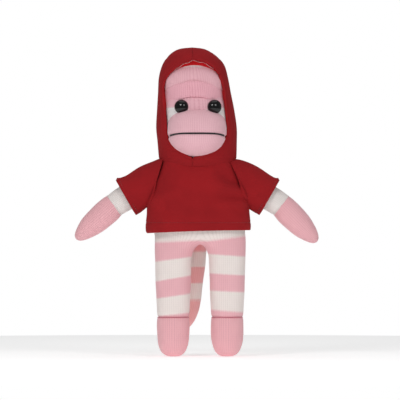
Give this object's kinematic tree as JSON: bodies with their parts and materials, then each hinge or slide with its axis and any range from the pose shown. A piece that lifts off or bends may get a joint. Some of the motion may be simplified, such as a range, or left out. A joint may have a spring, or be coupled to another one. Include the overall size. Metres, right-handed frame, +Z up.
{
  "type": "stuffed monkey",
  "caption": "Small stuffed monkey of pink and white striped knit in a red hooded pullover, with arms, legs, head, hood and tail that move.",
  "frame": {"origin": "on the floor, at the middle of the object's box", "axes": "+Z up along the body; the face looks along -Y; +X is the monkey's own left"},
  "size_m": [0.2403, 0.0914, 0.305],
  "materials": {
    "red_jersey": "matte",
    "pink_knit": "matte",
    "light_pink_knit": "matte",
    "white_knit": "matte",
    "striped_knit": "matte",
    "coral_striped_knit": "matte",
    "fibre_fill": "matte",
    "eye_plastic": "gloss",
    "washer_plastic": "satin",
    "dark_yarn": "matte"
  },
  "bodies": {
    "torso": {"torso_skin": "white_knit", "torso_stuffing": "fibre_fill", "hoodie_front_panel": "red_jersey", "hoodie_back_panel": "red_jersey"},
    "neck": {"neck_stuffing": "fibre_fill", "neck_gather_thread": "white_knit"},
    "head": {"head_skin": "light_pink_knit", "head_stuffing": "fibre_fill", "cap_crown": "pink_knit", "cap_brim": "pink_knit", "muzzle_skin": "light_pink_knit", "muzzle_stuffing": "fibre_fill", "mouth_yarn": "dark_yarn", "eye_left": "eye_plastic", "eye_right": "eye_plastic", "eye_washer_left": "washer_plastic", "eye_washer_right": "washer_plastic", "ear_left": "pink_knit", "ear_right": "pink_knit"},
    "hood": {"hood_left_panel": "red_jersey", "hood_right_panel": "red_jersey"},
    "arm_left": {"sleeve_left": "red_jersey", "arm_skin_left": "white_knit", "arm_stuffing_left": "fibre_fill", "hand_skin_left": "pink_knit"},
    "arm_right": {"sleeve_right": "red_jersey", "arm_skin_right": "white_knit", "arm_stuffing_right": "fibre_fill", "hand_skin_right": "pink_knit"},
    "leg_left": {"leg_skin_left": "striped_knit", "leg_stuffing_left": "fibre_fill", "foot_skin_left": "pink_knit"},
    "leg_right": {"leg_skin_right": "striped_knit", "leg_stuffing_right": "fibre_fill", "foot_skin_right": "pink_knit"},
    "tail": {"tail_skin": "coral_striped_knit", "tail_stuffing": "fibre_fill"}
  },
  "joints": [
    {"name": "head_turn", "type": "hinge", "parent": "torso", "child": "neck", "pos_m": [0.0011, 0.005, 0.197], "axis": [0, 0, 1], "range_deg": [-35, 35]},
    {"name": "head_nod", "type": "hinge", "parent": "neck", "child": "head", "pos_m": [0.0011, 0.005, 0.197], "axis": [1, 0, 0], "range_deg": [-15, 12]},
    {"name": "hood_slip", "type": "hinge", "parent": "head", "child": "hood", "pos_m": [0.0011, 0.035, 0.205], "axis": [-1, 0, 0], "range_deg": [0, 70]},
    {"name": "arm_left_raise", "type": "hinge", "parent": "torso", "child": "arm_left", "pos_m": [0.0451, 0.005, 0.172], "axis": [0, -1, 0], "range_deg": [-8, 85]},
    {"name": "arm_right_raise", "type": "hinge", "parent": "torso", "child": "arm_right", "pos_m": [-0.0429, 0.005, 0.172], "axis": [0, 1, 0], "range_deg": [-8, 85]},
    {"name": "leg_left_swing", "type": "hinge", "parent": "torso", "child": "leg_left", "pos_m": [0.0302, 0.005, 0.104], "axis": [-1, 0, 0], "range_deg": [0, 90]},
    {"name": "leg_right_swing", "type": "hinge", "parent": "torso", "child": "leg_right", "pos_m": [-0.023, 0.005, 0.104], "axis": [-1, 0, 0], "range_deg": [0, 90]},
    {"name": "tail_lift", "type": "hinge", "parent": "torso", "child": "tail", "pos_m": [0.0016, 0.031, 0.112], "axis": [1, 0, 0], "range_deg": [0, 80]}
  ]
}
